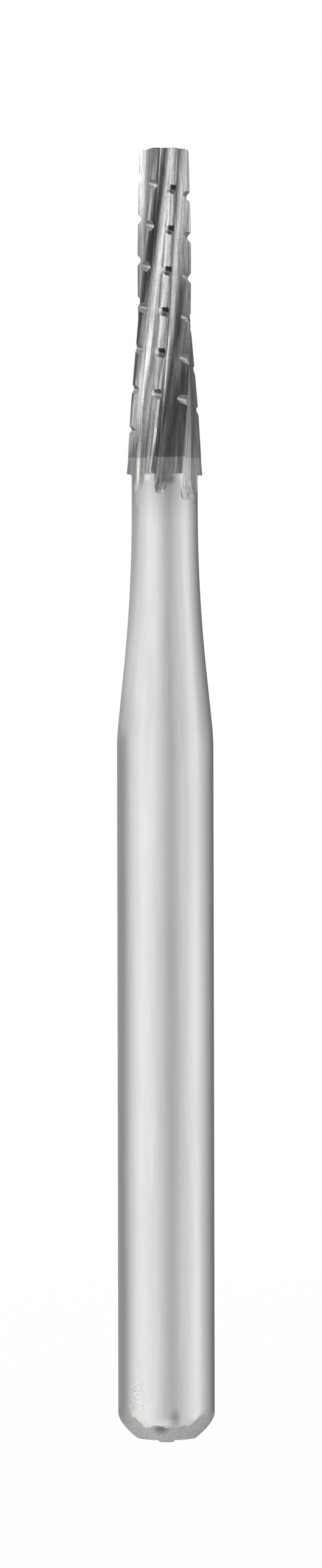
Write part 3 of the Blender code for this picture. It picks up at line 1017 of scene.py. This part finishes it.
def studio_world():
    world = bpy.data.worlds.new("studio")
    bpy.context.scene.world = world
    world.use_nodes = True
    tree = world.node_tree
    background = tree.nodes["Background"]
    direction = new_node(tree, "ShaderNodeTexCoord").outputs["Generated"]
    parts = new_node(tree, "ShaderNodeSeparateXYZ")
    feed(tree, parts.inputs[0], direction)
    place = ranged(tree, round_the_axis(tree, parts.outputs), -math.pi, math.pi, smooth=False)
    level, raised, above, below = (
        ramp(tree, place, [(0.5 + degree / 360.0, tone) for degree, tone in row])
        for row in (LEVEL_TONES, RAISED_TONES, ABOVE_TONES, BELOW_TONES))
    tone = level
    for limits, other in ((RAISED_FROM, raised), (ABOVE_FROM, above), (BELOW_FROM, below)):
        tone = mixed(tree, ranged(tree, parts.outputs["Z"], *limits), tone, other)
    seen = new_node(tree, "ShaderNodeLightPath").outputs["Is Camera Ray"]
    background.inputs["Color"].default_value = (1, 1, 1, 1)
    feed(tree, background.inputs["Strength"], mixed(tree, seen, tone, 1.0))


def floor_material(finishes):
    material = bpy.data.materials.new("pale_floor")
    material.use_nodes = True
    tree = material.node_tree
    shader = tree.nodes["Principled BSDF"]
    shader.inputs["Base Color"].default_value = (*finishes.floor, 1)
    shader.inputs["Roughness"].default_value = 0.9
    shader.inputs["Specular IOR Level"].default_value = 0.0
    shader.inputs["Emission Color"].default_value = (1, 1, 1, 1)
    seen = new_node(tree, "ShaderNodeLightPath").outputs["Is Camera Ray"]
    position = new_node(tree, "ShaderNodeTexCoord").outputs["Object"]
    distance = new_node(tree, "ShaderNodeVectorMath", operation="LENGTH")
    feed(tree, distance.inputs[0], position)
    glow = ranged(tree, distance.outputs["Value"], *GLOW_DISTANCES, *FLOOR_GLOW, smooth=False)
    feed(tree, shader.inputs["Emission Strength"], calc(tree, "MULTIPLY", seen, glow))
    return material


class DENTALBUR_OT_studio(bpy.types.Operator):
    """Set the floor, the soft light and the camera"""

    bl_idname = "dental_bur.studio"
    bl_label = "Studio"

    def execute(self, context):
        finishes = context.scene.dental_bur_finishes
        studio_world()
        deselect_all()
        bpy.ops.mesh.primitive_grid_add(x_subdivisions=8, y_subdivisions=8, size=FLOOR_SIZE,
                                        location=(0, 0, CAD_BOX[0][2] - FLOOR_DROP))
        floor = context.object
        floor.name = "floor"
        floor.data.materials.append(floor_material(finishes))
        floor.visible_glossy = False

        bpy.ops.object.light_add(type="AREA", location=LAMP_PLACE)
        lamp = context.object
        lamp.name = "overhead_softbox"
        lamp.data.shape = "DISK"
        lamp.data.size = LAMP_SIZE
        lamp.data.energy = LAMP_POWER
        aim = Vector(LAMP_TARGET) - lamp.location
        lamp.rotation_euler = aim.to_track_quat("-Z", "Y").to_euler()

        middle = (BACK_END_PIXEL - PHOTO_HEIGHT / 2) * PIXEL
        aside = (PHOTO_WIDTH / 2 - AXIS_PIXEL) * PIXEL
        bpy.ops.object.camera_add(location=(aside, -CAMERA_DISTANCE, middle),
                                  rotation=(math.pi / 2, CAMERA_ROLL, 0))
        camera = context.object
        camera.name = "camera"
        camera.data.sensor_fit = "AUTO"
        camera.data.angle = 2 * math.atan(PHOTO_HEIGHT / 2 * PIXEL / CAMERA_DISTANCE)
        camera.data.clip_start = 0.001
        camera.data.clip_end = 10.0
        context.scene.camera = camera
        context.scene.view_settings.view_transform = "Standard"
        deselect_all()
        return {"FINISHED"}


STEPS = (DENTALBUR_OT_finish_groups, DENTALBUR_OT_steel_shank, DENTALBUR_OT_carbide_head,
         DENTALBUR_OT_studio)


class DENTALBUR_PT_panel(bpy.types.Panel):
    """The steps that build the bur and its studio"""

    bl_label = "Dental Bur"
    bl_space_type = "VIEW_3D"
    bl_region_type = "UI"
    bl_category = "Dental Bur"

    def draw(self, context):
        for step in STEPS:
            self.layout.operator(step.bl_idname)
        for settings in (context.scene.dental_bur_sizes, context.scene.dental_bur_finishes):
            box = self.layout.box()
            for name in settings.__annotations__:
                box.prop(settings, name)


CLASSES = (DentalBurSizes, DentalBurFinishes, *STEPS, DENTALBUR_PT_panel)


def register():
    for cls in CLASSES:
        bpy.utils.register_class(cls)
    bpy.types.Scene.dental_bur_sizes = PointerProperty(type=DentalBurSizes)
    bpy.types.Scene.dental_bur_finishes = PointerProperty(type=DentalBurFinishes)


def unregister():
    del bpy.types.Scene.dental_bur_finishes
    del bpy.types.Scene.dental_bur_sizes
    for cls in reversed(CLASSES):
        bpy.utils.unregister_class(cls)


def main():
    register()
    bpy.ops.dental_bur.finish_groups()
    bpy.ops.dental_bur.steel_shank()
    bpy.ops.dental_bur.carbide_head()
    bpy.ops.dental_bur.studio()


if __name__ == "__main__":
    main()
